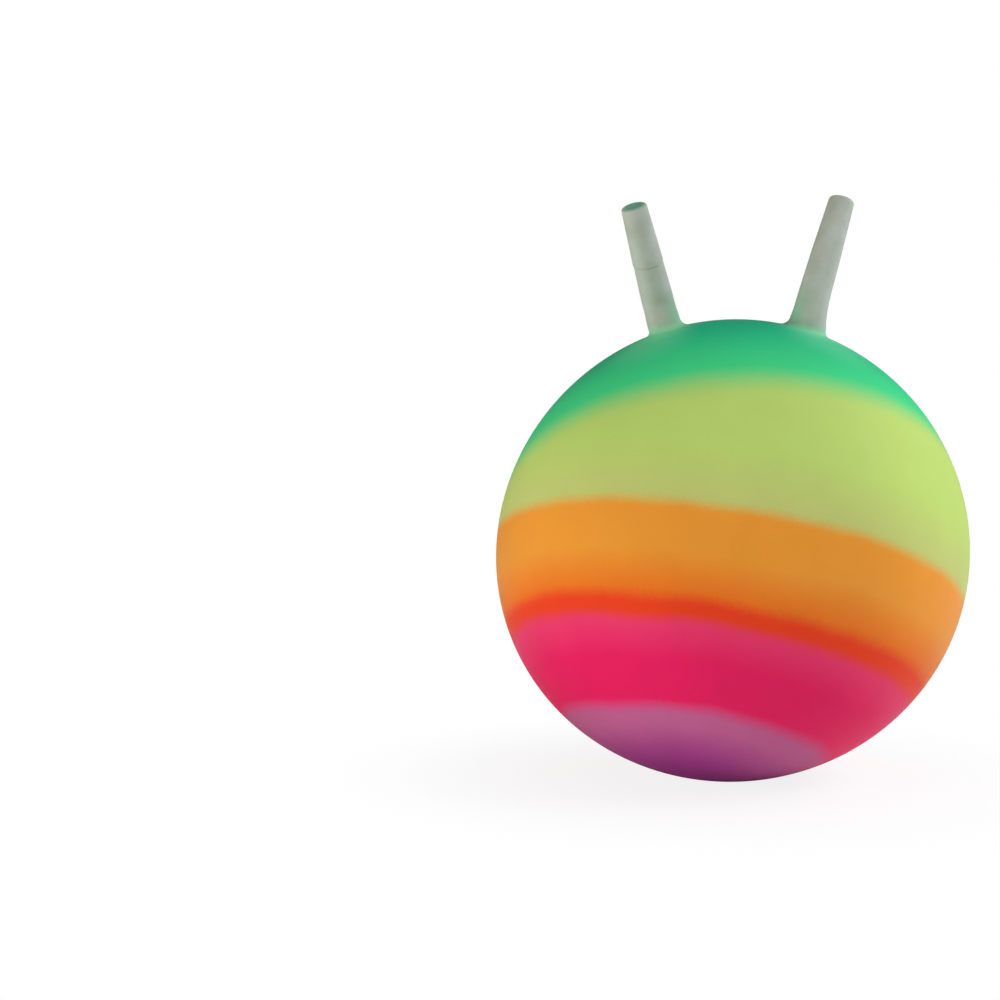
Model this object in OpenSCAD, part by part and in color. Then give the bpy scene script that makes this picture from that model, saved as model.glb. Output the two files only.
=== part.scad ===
// Hopper ball: an air-filled ball of soft PVC with two hand horns and a plugged valve.
// The origin is on the floor under the middle of the ball, +Z is up, the horns stand at +X and -X,
// and the rider sits behind them, on the +Y side.

/* [Ball] */
// Width of the ball across its middle
ball_w = 450; // [350:5:650]
// Height of the ball from pole to pole, before it settles on the floor
ball_h = 438; // [340:2:640]
// Thickness of the moulded skin
skin_t = 0.8; // [0.6:0.1:2]
// Diameter of the flat patch on which the ball rests
rest_d = 56; // [20:2:100]

/* [Horns] */
// Lean of each horn away from the upright, square to the skin at its foot
horn_tilt = 16.4; // [12:0.2:30]
// Bend of the left horn
left_bend_angle = 26; // [0:0.5:30]
// Direction of the left horn's bend: 0 is forwards, 90 inwards
left_turn_angle = 0; // [-180:5:180]
// Bend of the right horn
right_bend_angle = 9; // [0:0.5:30]
// Direction of the right horn's bend: 0 is forwards, 90 inwards
right_turn_angle = 180; // [-180:5:180]
// Length of the straight foot of a horn, from the skin to its bend
foot_len = 16; // [14:1:30]
// Length over which a horn bends
bend_len = 18; // [12:1:30]
// Length of the neck of a horn, from its bend to the seam under the grip
neck_len = 35; // [16:1:40]
// Outside diameter of a horn just above its foot fillet
horn_base_d = 31.4; // [28:0.2:36]
// Outside diameter of a horn along its bend
horn_bend_d = 30.2; // [26:0.2:34]
// Outside diameter of a horn at the seam
horn_seam_d = 28; // [24:0.2:32]
// Wall of a horn below the seam
horn_wall = 2.4; // [1.6:0.1:3]
// Radius of the fillet that runs a horn out on the skin
foot_fillet_r = 9; // [5:0.5:11]
// Thickness of the fillet's outer rim
foot_rim_t = 0.6; // [0.4:0.1:1.2]
// Diameter of the air hole through the skin under each horn
air_hole_d = 22; // [8:1:24]

/* [Grips] */
// Length of a grip from its mouth to its tip
grip_len = 60; // [50:1:90]
// Outside diameter of a grip at its mouth
grip_mouth_d = 28.8; // [25:0.2:34]
// Outside diameter of a grip at its tip
grip_tip_d = 24.4; // [22:0.2:30]
// Wall of a grip
grip_wall = 2.2; // [1.4:0.1:3]
// Radius of the rounded rim of the tip
tip_round_r = 3; // [1:0.25:3.5]
// Diameter of the dish in the end of the tip
tip_dish_d = 17; // [8:0.5:17.5]
// Depth of the dish in the end of the tip
tip_dish_depth = 1.2; // [0.4:0.1:2.5]
// Thickness of the closed end under the dish
tip_floor_t = 2.4; // [1.2:0.1:4]
// Length of the spigot that carries a grip
spigot_len = 18; // [10:1:30]
// Wall of the spigot
spigot_wall = 2; // [1.2:0.1:3]

/* [Valve] */
// Tilt of the valve from the upright, on the rider's side
valve_tilt = 32; // [25:1:70]
// Diameter of the boss that fills the hole in the skin
boss_d = 20; // [18:0.5:26]
// Diameter of the flange bonded inside the skin
flange_d = 34; // [28:1:44]
// Thickness of the flange at its rim
flange_t = 1.6; // [1:0.1:3]
// Outside diameter of the tube that grips the plug
tube_d = 13; // [11:0.5:16]
// Length of the tube below the flange
tube_len = 16; // [8:1:24]
// Bore of the valve
bore_d = 8; // [6:0.2:9]
// Diameter of the plug's head
head_d = 12.8; // [10.5:0.2:15]
// Thickness of the plug's head
head_t = 1.6; // [1.2:0.1:2.2]
// Chamfer round the top of the plug's head
head_chamfer = 0.5; // [0.2:0.1:0.8]
// Diameter of the plug's stem between its sealing rings
stem_d = 7; // [4.6:0.1:7.2]
// Length of the plug's stem with its nose
stem_len = 15; // [11:0.5:22]
// Diameter of the plug's nose
nose_d = 4.2; // [3:0.1:4.4]
// Length of the tapered nose
nose_len = 3; // [1:0.25:4]
// Rounding of each sealing ring
ring_r = 0.9; // [0.5:0.1:1.2]
// Distance from one sealing ring to the next
ring_pitch = 4; // [2.6:0.1:4]
// Radius of the finger notch beside the head
notch_r = 2; // [1:0.1:2.4]

/* [Fits] */
// Gap between faces that are welded or bonded to each other
weld_gap = 0.15; // [0.05:0.05:0.3]
// Gap between a grip and the horn that carries it
grip_gap = 0.3; // [0.2:0.05:0.4]
// Gap round the sealing rings of the plug
plug_gap = 0.08; // [0.02:0.01:0.1]
// Gap round and under the plug's head
head_gap = 0.2; // [0.1:0.05:0.4]

/* [Hidden] */
$fn = 96;
// Sides of the ball's drawn outline
ball_sides = 256;
pvc_white = "#c3c7b8";
skin_green = "#8fc46a";
plug_white = "#e9e9e2";
// How far a cut runs past the face that it opens
overrun = 4;
// How much deeper the neck's wall is than the bend that is let into it, and how far the bend runs in
bend_lap = 0.1;
bend_lap_len = 0.25;
// How far the foot fillet's arc is let into the side of the horn
fillet_lap = 0.15;

// Height of the ball's middle above the floor, once its flat patch is on the floor
middle_z = ball_h / 2 * sqrt(1 - pow(rest_d / ball_w, 2));

// Radius and height, from the ball's middle, of the skin's point whose normal has this tilt
function skin_scale(tilt) = sqrt(pow(ball_w / 2 * sin(tilt), 2) + pow(ball_h / 2 * cos(tilt), 2));
function skin_point(tilt) = [
    pow(ball_w / 2, 2) * sin(tilt) / skin_scale(tilt),
    pow(ball_h / 2, 2) * cos(tilt) / skin_scale(tilt)
];
// Drop of the skin below its tangent plane at this distance from the point of contact
function skin_drop(r) = pow(r, 2) / min(ball_w, ball_h);

// Horn
base_r = horn_base_d / 2;
bend_tube_r = horn_bend_d / 2;
seam_r = horn_seam_d / 2;
horn_bore_r = bend_tube_r - horn_wall;
fillet_axis_r = base_r - fillet_lap + foot_fillet_r;
fillet_z = foot_fillet_r - skin_drop(fillet_axis_r);
foot_r = fillet_axis_r - sqrt(pow(foot_fillet_r, 2) - pow(foot_fillet_r - foot_rim_t, 2));
foot_sink = skin_drop(foot_r) + overrun;

// Grip
mouth_r = grip_mouth_d / 2;
tip_r = grip_tip_d / 2;
grip_slope = (mouth_r - tip_r) / (grip_len - tip_round_r);
function grip_bore_r(z) = mouth_r - grip_wall - grip_slope * z;
function spigot_r(z) = grip_bore_r(z) - grip_gap;
bore_top_z = grip_len - tip_dish_depth - tip_floor_t;
dish_r = (pow(tip_dish_d / 2, 2) + pow(tip_dish_depth, 2)) / (2 * tip_dish_depth);

// Valve
flange_top_z = -skin_t - weld_gap;
flange_base_z = flange_top_z - skin_drop(flange_d / 2) - flange_t;
tube_base_z = flange_base_z - tube_len;
recess_depth = head_t + head_gap;
recess_r = head_d / 2 + head_gap;
ring_top_r = bore_d / 2 - plug_gap;

// The ball's outer form, drawn in by inset all round
module ball_form(inset) {
    translate([0, 0, middle_z])
        scale([1, 1, (ball_h - 2 * inset) / (ball_w - 2 * inset)])
            sphere(d = ball_w - 2 * inset, $fn = ball_sides);
}

// The ball's form standing on a floor at height z
module standing_form(inset, z) {
    intersection() {
        ball_form(inset);
        translate([-ball_w, -ball_w, z])
            cube([2 * ball_w, 2 * ball_w, 2 * ball_h]);
    }
}

// Puts a piece on the skin at +X, its axis square to the skin
module on_skin(tilt) {
    translate([skin_point(tilt)[0], 0, middle_z + skin_point(tilt)[1]])
        rotate([0, tilt, 0])
            children();
}

module at_right_horn() on_skin(horn_tilt) rotate([0, 0, -right_turn_angle]) children();
module at_left_horn() mirror([1, 0, 0]) on_skin(horn_tilt) rotate([0, 0, -left_turn_angle]) children();
module at_valve() rotate([0, 0, 90]) on_skin(valve_tilt) children();

// Radius of the horn's middle line through its bend
function bend_line_r(bend) = bend_len / (bend * PI / 180);

// Moves a piece from the start of a horn's bend to the end of it
module past_bend(bend) {
    if (bend == 0)
        translate([0, 0, bend_len]) children();
    else
        translate([0, -bend_line_r(bend), 0])
            rotate([bend, 0, 0])
                translate([0, bend_line_r(bend), 0])
                    children();
}

module tube_section() {
    difference() {
        circle(r = bend_tube_r);
        circle(r = horn_bore_r);
    }
}

// The bent stretch of a horn, a piece of a torus whose upper end is let into the neck's wall
module bent_tube(bend) {
    lap_share = bend_lap_len / bend_len;
    if (bend == 0)
        linear_extrude(bend_len + bend_lap_len) tube_section();
    else
        translate([0, -bend_line_r(bend), 0])
            rotate([90, 0, 90])
                rotate_extrude(angle = bend * (1 + lap_share))
                    translate([bend_line_r(bend), 0])
                        tube_section();
}

// Half-section of the foot: a wall that tapers up to the bend, with the fillet round its base
module foot_section() {
    polygon([
        [horn_bore_r, -foot_sink],
        [base_r, -foot_sink],
        [base_r, fillet_z],
        [bend_tube_r, foot_len],
        [horn_bore_r, foot_len]
    ]);
    difference() {
        translate([(horn_bore_r + base_r) / 2, -foot_sink])
            square([foot_r - (horn_bore_r + base_r) / 2, foot_sink + fillet_z]);
        translate([fillet_axis_r, fillet_z])
            circle(r = foot_fillet_r);
    }
}

// Half-section of the neck: a taper up to the seam, a shoulder and the spigot above it
module neck_section() {
    polygon([
        [bend_tube_r + bend_lap, 0],
        [seam_r, neck_len],
        [spigot_r(0), neck_len],
        [spigot_r(spigot_len), neck_len + spigot_len],
        [spigot_r(spigot_len) - spigot_wall, neck_len + spigot_len],
        [spigot_r(0) - spigot_wall, neck_len - horn_wall],
        [seam_r - horn_wall, neck_len - 2 * horn_wall],
        [horn_bore_r - bend_lap, 0]
    ]);
}

module horn_root(bend) {
    rotate_extrude() foot_section();
    translate([0, 0, foot_len]) {
        bent_tube(bend);
        past_bend(bend) rotate_extrude() neck_section();
    }
}

// Half-section of a grip: a tapered sleeve, closed and dished at its tip
module grip_section() {
    difference() {
        union() {
            polygon([
                [0, 0],
                [mouth_r, 0],
                [tip_r, grip_len - tip_round_r],
                [tip_r - tip_round_r, grip_len],
                [0, grip_len]
            ]);
            intersection() {
                translate([tip_r - tip_round_r, grip_len - tip_round_r])
                    circle(r = tip_round_r);
                square([tip_r, grip_len]);
            }
        }
        polygon([
            [0, -overrun],
            [grip_bore_r(-overrun), -overrun],
            [grip_bore_r(bore_top_z), bore_top_z],
            [0, bore_top_z]
        ]);
        intersection() {
            translate([0, grip_len - tip_dish_depth + dish_r])
                circle(r = dish_r);
            square([tip_dish_d, grip_len + overrun]);
        }
    }
}

module horn_grip(bend) {
    translate([0, 0, foot_len])
        past_bend(bend)
            translate([0, 0, neck_len + grip_gap])
                rotate_extrude() grip_section();
}

module ball_skin() {
    color(skin_green)
        difference() {
            standing_form(0, 0);
            standing_form(skin_t, skin_t);
            at_right_horn() air_hole();
            at_left_horn() air_hole();
            at_valve()
                translate([0, 0, -overrun])
                    cylinder(d = boss_d + 2 * weld_gap, h = 2 * overrun);
        }
}

module air_hole() {
    translate([0, 0, -overrun])
        cylinder(d = air_hole_d, h = 2 * overrun);
}

module left_horn_root() {
    color(pvc_white)
        difference() {
            at_left_horn() horn_root(left_bend_angle);
            ball_form(-weld_gap);
        }
}

module right_horn_root() {
    color(pvc_white)
        difference() {
            at_right_horn() horn_root(right_bend_angle);
            ball_form(-weld_gap);
        }
}

module left_horn_grip() {
    color(pvc_white)
        at_left_horn() horn_grip(left_bend_angle);
}

module right_horn_grip() {
    color(pvc_white)
        at_right_horn() horn_grip(right_bend_angle);
}

// The flange follows the inside of the skin, and the boss comes out flush through it
module valve_seat() {
    color(pvc_white)
        difference() {
            union() {
                intersection() {
                    at_valve()
                        translate([0, 0, flange_base_z])
                            cylinder(d = flange_d, h = -flange_base_z);
                    ball_form(-flange_top_z);
                }
                at_valve()
                    translate([0, 0, flange_base_z])
                        cylinder(d = boss_d, h = -flange_base_z);
                at_valve()
                    translate([0, 0, tube_base_z])
                        cylinder(d = tube_d, h = tube_len);
            }
            at_valve() {
                translate([0, 0, tube_base_z - overrun])
                    cylinder(d = bore_d, h = -tube_base_z + 2 * overrun);
                translate([0, 0, -recess_depth])
                    cylinder(r = recess_r, h = recess_depth + overrun);
                translate([recess_r, 0, -recess_depth])
                    cylinder(r = notch_r, h = recess_depth + overrun);
            }
        }
}

// The plug, its head on top, its stem below with two sealing rings and a tapered nose
module plug_form() {
    rotate_extrude()
        polygon([
            [0, head_t],
            [head_d / 2 - head_chamfer, head_t],
            [head_d / 2, head_t - head_chamfer],
            [head_d / 2, 0],
            [stem_d / 2, 0],
            [stem_d / 2, nose_len - stem_len],
            [nose_d / 2, -stem_len],
            [0, -stem_len]
        ]);
    for (ring = [1, 2])
        rotate_extrude()
            translate([ring_top_r - ring_r, -ring * ring_pitch])
                circle(r = ring_r);
}

module valve_plug() {
    color(plug_white)
        at_valve()
            translate([0, 0, head_gap - recess_depth])
                plug_form();
}

ball_skin();
left_horn_root();
right_horn_root();
left_horn_grip();
right_horn_grip();
valve_seat();
valve_plug();
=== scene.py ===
"""Hopper ball: a sprayed, air-filled skin, two soft horns with sleeve grips and a plugged valve."""

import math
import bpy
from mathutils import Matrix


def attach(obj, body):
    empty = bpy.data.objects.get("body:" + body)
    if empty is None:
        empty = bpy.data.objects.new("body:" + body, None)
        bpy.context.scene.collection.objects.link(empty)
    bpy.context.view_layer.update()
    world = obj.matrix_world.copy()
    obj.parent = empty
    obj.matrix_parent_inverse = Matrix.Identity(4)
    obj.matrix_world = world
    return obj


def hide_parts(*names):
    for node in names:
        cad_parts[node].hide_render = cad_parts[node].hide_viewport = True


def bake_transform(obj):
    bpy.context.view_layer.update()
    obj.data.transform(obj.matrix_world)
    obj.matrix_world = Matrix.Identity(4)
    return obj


bl_info = {
    "name": "Hopper Ball",
    "version": (1, 0, 0),
    "blender": (4, 5, 0),
    "location": "View3D > Sidebar > Hopper Ball",
    "description": "Builds a sprayed hopper ball with two soft horns and a plugged valve",
    "category": "Object",
}

import bmesh
import bpy
import numpy as np
from bpy.props import FloatProperty, FloatVectorProperty, PointerProperty
from mathutils import Matrix

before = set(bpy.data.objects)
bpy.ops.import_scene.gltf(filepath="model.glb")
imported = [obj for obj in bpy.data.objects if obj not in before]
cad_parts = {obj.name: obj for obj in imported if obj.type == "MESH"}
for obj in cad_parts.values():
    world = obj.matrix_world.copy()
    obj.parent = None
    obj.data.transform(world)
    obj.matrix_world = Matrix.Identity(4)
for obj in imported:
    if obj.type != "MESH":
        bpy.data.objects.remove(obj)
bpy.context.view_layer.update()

MM = 0.001
FRONT = np.array((0.0, -1.0, 0.0))
UP = np.array((0.0, 0.0, 1.0))


# Properties


def linear(colour):
    """A colour given in display steps of 0 to 255, as the linear colour that a shader takes."""
    shares = [step / 255 for step in colour]
    return tuple(c / 12.92 if c <= 0.04045 else ((c + 0.055) / 1.055) ** 2.4 for c in shares)


def span(name, description, size):
    """A length, given in millimetres."""
    return FloatProperty(
        name=name, description=description, default=size * MM, min=0.0, precision=5, unit="LENGTH"
    )


def angle(name, description, degrees):
    return FloatProperty(
        name=name, description=description, default=math.radians(degrees), subtype="ANGLE"
    )


def share(name, description, amount, low=0.0, high=1.0):
    return FloatProperty(name=name, description=description, default=amount, min=low, max=high)


def trim(name, description, amount, most=0.05):
    """A small share, added or taken off."""
    return share(name, description, amount, -most, most)


def spot(name, description, place):
    """A point, given in metres."""
    return FloatVectorProperty(
        name=name, description=description, default=place, subtype="TRANSLATION", unit="LENGTH"
    )


def power(name, description, watts):
    return FloatProperty(name=name, description=description, default=watts, min=0.0, unit="POWER")


def colour(name, description, steps):
    """A colour, given in display steps of 0 to 255."""
    return FloatVectorProperty(
        name=name, description=description, default=linear(steps), size=3, min=0.0, max=1.0,
        subtype="COLOR",
    )


class HopperSizes(bpy.types.PropertyGroup):
    """Sizes of the ball, its horns and its valve"""

    ball_width: span("Ball width", "Width of the ball across its middle", 450)
    ball_height: span("Ball height", "Height of the ball from pole to pole", 438)
    skin_thickness: span("Skin", "Thickness of the moulded skin", 0.8)
    rest_width: span("Rest patch", "Width of the flat patch that the ball rests on", 56)
    ball_lean: trim("Ball lean", "How far the soft ball leans over to the right", 0.0153)
    ball_slump: trim("Ball slump", "How much fuller its sides are below than above", 0.0165)
    ball_pinch: trim("Ball pinch", "How far its sides are drawn in", 0.006)

    horn_tilt: angle("Horn tilt", "Lean of each horn away from the upright", 16.4)
    left_bend: angle("Left bend", "Bend of the left horn", 26)
    left_turn: angle("Left turn", "Direction of the left bend: 0 forwards, 90 inwards", 0)
    right_bend: angle("Right bend", "Bend of the right horn", 9)
    right_turn: angle("Right turn", "Direction of the right bend: 0 forwards, 90 inwards", 180)
    foot_length: span("Foot", "Length of a horn from the skin to its bend", 16)
    bend_length: span("Bend", "Length over which a horn bends", 18)
    neck_length: span("Neck", "Length of a horn from its bend to the seam", 35)
    base_width: span("Base width", "Width of a horn above its foot fillet", 31.4)
    bend_width: span("Bend width", "Width of a horn along its bend", 30.2)
    seam_width: span("Seam width", "Width of a horn at an open seam, under its grip", 28)
    horn_wall: span("Horn wall", "Wall of a horn", 2.4)
    inner_fillet: span("Inner fillet", "Fillet of a horn's foot on its inner side", 7.5)
    outer_fillet: span("Outer fillet", "Fillet of a horn's foot on its outer side", 4)
    left_spread: span("Left spread", "Spread of the left horn's foot on its outer side", 0.5)
    right_spread: span("Right spread", "Spread of the right horn's foot on its outer side", 5.9)
    spread_length: span("Spread length", "Length of a horn over which its foot spreads", 44)

    grip_length: span("Grip", "Length of a grip", 60)
    mouth_width: span("Grip mouth", "Width of a grip at its mouth", 28.8)
    tip_width: span("Grip tip", "Width of a grip at its tip", 24.4)
    grip_wall: span("Grip wall", "Wall of a grip", 2.2)
    grip_gap: span("Grip gap", "Gap between a grip and the horn that carries it", 0.3)
    left_seam: span("Left seam", "Open gap at the left seam", 0.3)
    right_seam: span("Right seam", "Open gap at the right seam, which is all but shut", 0.02)
    lip_round: span("Lip", "Rounding of an edge at an open seam", 0.7)
    shut_lip: share("Shut lip", "Share of that rounding that a shut seam keeps", 0.08)
    tip_cant: angle("Tip cant", "How far the end of a tip is canted to the back", 9)
    cant_length: span("Cant length", "Length of a grip over which its end turns to the cant", 26)
    tip_round: span("Tip round", "Radius of the rounded rim of a tip", 3)
    dish_width: span("Dish", "Width of the dish in a tip", 17)
    dish_depth: span("Dish depth", "Depth of the dish in a tip", 1.2)
    spigot_length: span("Spigot", "Length of the spigot inside a grip", 18)
    spigot_wall: span("Spigot wall", "Wall of the spigot", 2)

    valve_tilt: angle("Valve tilt", "Lean of the valve from the upright, towards the back", 32)
    boss_width: span("Boss", "Width of the boss that fills the hole in the skin", 20)
    flange_width: span("Flange", "Width of the flange bonded inside the skin", 34)
    flange_rim: span("Flange rim", "Thickness of the flange at its rim", 1.6)
    tube_width: span("Tube", "Width of the tube that grips the plug", 13)
    tube_length: span("Tube length", "Length of the tube below the flange", 16)
    bore_width: span("Bore", "Bore of the valve", 8)
    head_width: span("Plug head", "Width of the plug's head", 12.8)
    head_height: span("Plug head height", "Height of the plug's head", 1.6)
    head_gap: span("Head gap", "Gap round and under the plug's head", 0.2)
    notch: span("Finger notch", "Radius of the finger notch beside the plug's head", 2)
    stem_width: span("Plug stem", "Width of the plug's stem", 7)
    stem_length: span("Stem length", "Length of the plug's stem", 15)
    nose_width: span("Plug nose", "Width of the plug's nose", 4.2)
    nose_length: span("Nose length", "Length of the plug's tapered nose", 3)
    ring_width: span("Sealing ring", "Width of the plug's sealing rings", 7.84)
    ring_round: span("Ring round", "Rounding of a sealing ring", 0.9)
    ring_pitch: span("Ring pitch", "Distance from one sealing ring to the next", 4)
    weld_gap: span("Weld gap", "Gap between faces that are bonded to each other", 0.15)


class HopperPaint(bpy.types.PropertyGroup):
    """Colours of the sprayed bands and of the bare plastics, and how far the spray reaches"""

    violet_deep: colour("Deep violet", "Pole of the violet band", (170, 60, 146))
    violet: colour("Violet", "Rim of the violet band", (196, 102, 148))
    pink: colour("Pink", "Lower part of the pink band", (233, 30, 94))
    coral: colour("Coral pink", "Upper part of the pink band", (235, 58, 106))
    red_orange: colour("Red orange", "Narrow band where pink and orange mix", (236, 66, 28))
    deep_orange: colour("Deep orange", "Lower part of the orange band", (236, 120, 32))
    orange: colour("Orange", "Upper part of the orange band", (237, 153, 52))
    yellow_green: colour("Yellow green", "Lower part of the yellow-green band", (194, 202, 114))
    lime: colour("Lime", "Upper part of the yellow-green band", (190, 216, 110))
    green: colour("Green", "Rim of the green cap", (66, 214, 132))
    teal: colour("Teal", "Middle of the green cap", (22, 184, 130))
    # Mint is partly thin spray and partly a painted highlight on the lamp-lit front and outer side
    # of the horns' feet.
    mint: colour("Mint", "Thin green spray before the horns' feet", (124, 226, 160))

    band_lean: angle("Band lean", "Lean of the bands' axis to the right", 10.6)
    band_tip: angle("Band tip", "Lean of the bands' axis to the back", 21.1)
    cap_lean: angle("Cap lean", "Lean of the green cap's axis to the right", -1.8)
    cap_tip: angle("Cap tip", "Lean of the green cap's axis to the back", 32.6)
    cap_edge: share("Cap edge", "Height of the green cap's edge along its axis", 0.302, -1.0)
    cap_fade: share("Cap fade", "Half the width of the green cap's soft edge", 0.10)

    bare_pale: colour("Bare pale", "Bare PVC where it is thick and pale", (188, 193, 180))
    bare_grey: colour("Bare grey", "Bare PVC where it is thin and grey", (170, 175, 157))
    tip_green: colour("Tip green", "Spray in the dish of a horn's tip", (84, 164, 128))
    valve_white: colour("Valve", "Bare PVC of the valve", (198, 203, 190))
    plug_white: colour("Plug", "White plastic of the plug", (226, 227, 221))

    foot_top: span("Foot top", "Height at which the skin's paint ends on a horn's foot", 11.5)
    foot_depth: span("Foot depth", "Depth under the skin at which that paint would be full", 5)
    veil: share("Veil", "Strength of the thin paint on a horn's inner side", 0.45)
    veil_top: span("Veil top", "Height at which that thin paint ends", 46)
    veil_full: span("Veil full", "Height below which it is at its strongest", 6)
    dish_spray: share("Dish spray", "Strength of the spray in the dish of a tip", 0.85)
    dish_spill: span("Dish spill", "How far that spray runs past the edge of the dish", 0.3)
    dish_fade: span("Dish fade", "Width over which that spray fades out", 1)
    rim_spray: share("Rim spray", "Strength of the spray on the rim of a tip", 0.45)
    rim_depth: span("Rim depth", "How far down the rim that spray reaches", 1.6)
    rim_full: span("Rim full", "Distance from the end within which it is at its strongest", 0.3)
    boss_spray: share("Boss spray", "Strength of the spray on the valve's boss", 0.7)
    boss_bare: span("Boss bare", "Width of the bare rim between the recess and that spray", 0.4)


class HopperStage(bpy.types.PropertyGroup):
    """Camera, lamps and floor"""

    camera_place: spot("Camera", "Place of the camera", (-0.2203, -2.6804, 0.4971))
    camera_pitch: angle("Pitch", "How far the camera looks down", 4.98)
    camera_roll: angle("Roll", "Turn of the camera round its own axis", 0.4)
    camera_lens: FloatProperty(
        name="Lens", description="Focal length of the camera", default=102.08, unit="CAMERA"
    )
    left_place: spot("Left lamp", "Place of the left lamp", (-2.162, -1.248, 0.381))
    right_place: spot("Right lamp", "Place of the right lamp", (1.924, -0.700, 1.684))
    back_place: spot("Back lamp", "Place of the back lamp", (1.800, 0.655, 1.857))
    lamp_aim: spot("Lamp aim", "Point that the lamps face", (0.0, 0.0, 0.25))
    lamp_width: span("Lamp width", "Width and height of each lamp", 1200)
    left_power: power("Left power", "Power of the left lamp", 43.6)
    right_power: power("Right power", "Power of the right lamp", 44.5)
    back_power: power("Back power", "Power of the back lamp", 15.6)
    cool_light: colour("Cool light", "Colour of the right and back lamps", (240, 242, 255))
    sky_level: share("Sky", "Light from all round", 0.18, 0.0, 2.0)
    floor_white: colour("Floor", "Colour of the floor", (246, 246, 246))
    floor_glow: share("Floor glow", "Share of plain white that the floor shows near the ball", 0.85)
    glow_near: span("Glow near", "Distance from the middle at which that share starts to rise", 100)
    glow_far: span("Glow far", "Distance from the middle at which the floor is plain white", 420)


# Forms


def unit(vector):
    return vector / np.linalg.norm(vector)


def round_places(radii, turns):
    """The x and y of places round an axis, at one radius or at one for each turn."""
    return zip(radii * np.cos(turns), radii * np.sin(turns))


def grip_slope(sizes):
    """How fast the radius of a grip falls off towards its tip."""
    return (sizes.mouth_width - sizes.tip_width) / 2 / (sizes.grip_length - sizes.tip_round)


def recess_radius(sizes):
    """Radius of the recess that holds the plug's head."""
    return sizes.head_width / 2 + sizes.head_gap


class Perch:
    """A place on the skin: its point, its axis square to the skin and two axes across."""

    def __init__(self, form, tilt, heading):
        radius, height = form.skin_spot(tilt)
        self.form = form
        self.point = heading * radius + UP * (form.middle + height)
        self.axis = heading * math.sin(tilt) + UP * math.cos(tilt)
        self.across = heading * math.cos(tilt) - UP * math.sin(tilt)
        self.side = np.cross(self.axis, self.across)

    def at(self, x, y, z):
        """A point from its local place: x down the slope, y along it, z off the skin."""
        return self.point + self.across * x + self.side * y + self.axis * z

    def ring(self, radii, height, turns):
        """A ring round the axis, at a height off the skin's point."""
        return np.array([self.at(x, y, height) for x, y in round_places(radii, turns)])

    def on_skin(self, x, y, lift):
        """The point of the skin under a local x and y, lifted along the axis."""
        start = self.form.to_unit(self.at(x, y, 0.0))
        step = self.axis / self.form.halves
        a, b, c = step @ step, start @ step, start @ start - 1
        return self.at(x, y, (math.sqrt(b * b - a * c) - b) / a + lift)


class BallForm:
    """The ball's outer form: an oval of revolution that stands on a flat patch."""

    def __init__(self, sizes):
        half_width, half_height = sizes.ball_width / 2, sizes.ball_height / 2
        self.halves = np.array((half_width, half_width, half_height))
        self.middle = half_height * math.sqrt(1 - (sizes.rest_width / sizes.ball_width) ** 2)
        self.centre = UP * self.middle
        self.sizes = sizes

    def skin_spot(self, tilt):
        """Radius and height above the middle of the point whose normal has this tilt."""
        wide, high = self.halves[0], self.halves[2]
        reach = math.hypot(wide * math.sin(tilt), high * math.cos(tilt))
        return wide**2 * math.sin(tilt) / reach, high**2 * math.cos(tilt) / reach

    def to_unit(self, point):
        return (point - self.centre) / self.halves

    def from_unit(self, direction, inset):
        return self.centre + direction * (self.halves - inset)

    def slack(self, points):
        """Points of the true oval, moved to where the soft ball has them as it stands."""
        sizes, arms = self.sizes, np.asarray(points) - self.centre
        x, _, z = (arms / np.linalg.norm(arms, axis=1, keepdims=True)).T
        swell = x * (sizes.ball_lean * z - sizes.ball_slump * x * z - sizes.ball_pinch * x)
        return self.centre + arms * (1 + swell)[:, None]


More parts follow.
